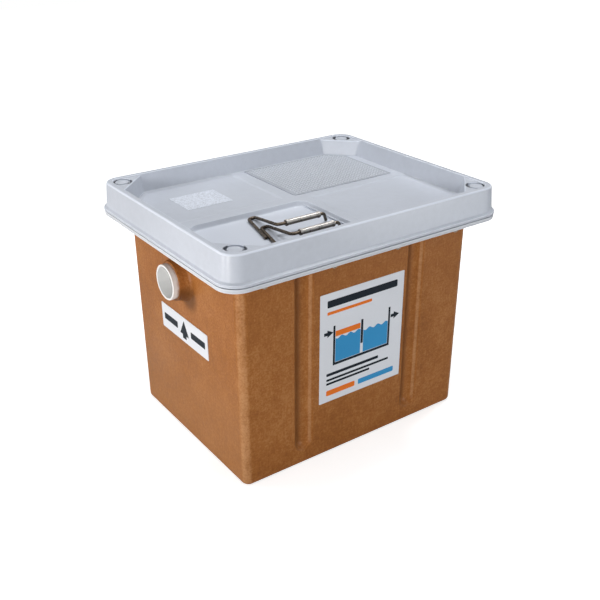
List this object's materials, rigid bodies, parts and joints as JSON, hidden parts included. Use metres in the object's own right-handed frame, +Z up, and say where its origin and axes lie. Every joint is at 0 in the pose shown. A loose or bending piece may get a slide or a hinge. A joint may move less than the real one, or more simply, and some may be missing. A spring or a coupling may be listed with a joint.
{
  "type": "grease trap",
  "caption": "Floor-standing grease trap: brown fluted fibreglass tank with pipe stubs, inner tees and baffles, under a grey lift-off tray lid with corner studs and lifting keys.",
  "frame": {"origin": "middle of the underside of the tank's base", "axes": "+Z up, +X along the length from the outlet end to the inlet end, -Y the front with the key pocket"},
  "size_m": [0.816, 0.658, 0.64],
  "materials": {
    "laminate": "mottled fibreglass",
    "lid_grey": "satin moulded grey",
    "frame_grey": "satin moulded grey",
    "tread_grey": "anti-slip tread",
    "pvc_white": "plain white",
    "rubber": "matt black",
    "steel": "plated, a little tarnished"
  },
  "bodies": {
    "tank": {"tank": "laminate", "frame_seal": "rubber", "frame": "frame_grey", "frame_bolts": "steel", "frame_washers": "steel", "frame_nuts": "steel", "lid_gasket": "rubber", "outlet_pipe": "pvc_white", "outlet_tee": "pvc_white", "outlet_drop_tube": "pvc_white", "inlet_pipe": "pvc_white", "inlet_tee": "pvc_white", "inlet_drop_tube": "pvc_white", "inlet_weir": "laminate", "inlet_baffle": "laminate", "outlet_baffle": "laminate", "baffle_guide_1": "laminate", "baffle_guide_2": "laminate", "baffle_guide_3": "laminate", "baffle_guide_4": "laminate"},
    "lid": {"lid": "lid_grey", "tread_panel": "tread_grey", "lifting_stud_1": "lid_grey", "lifting_stud_2": "lid_grey", "lifting_stud_3": "lid_grey", "lifting_stud_4": "lid_grey", "stud_nuts": "steel", "lifting_key_1": "steel", "lifting_key_2": "steel", "key_sleeve_1": "steel", "key_sleeve_2": "steel"}
  },
  "joints": [
    {"name": "lid_lift", "type": "slide", "parent": "tank", "child": "lid", "axis": [0, 0, 1], "range_m": [0, 0.4]}
  ]
}
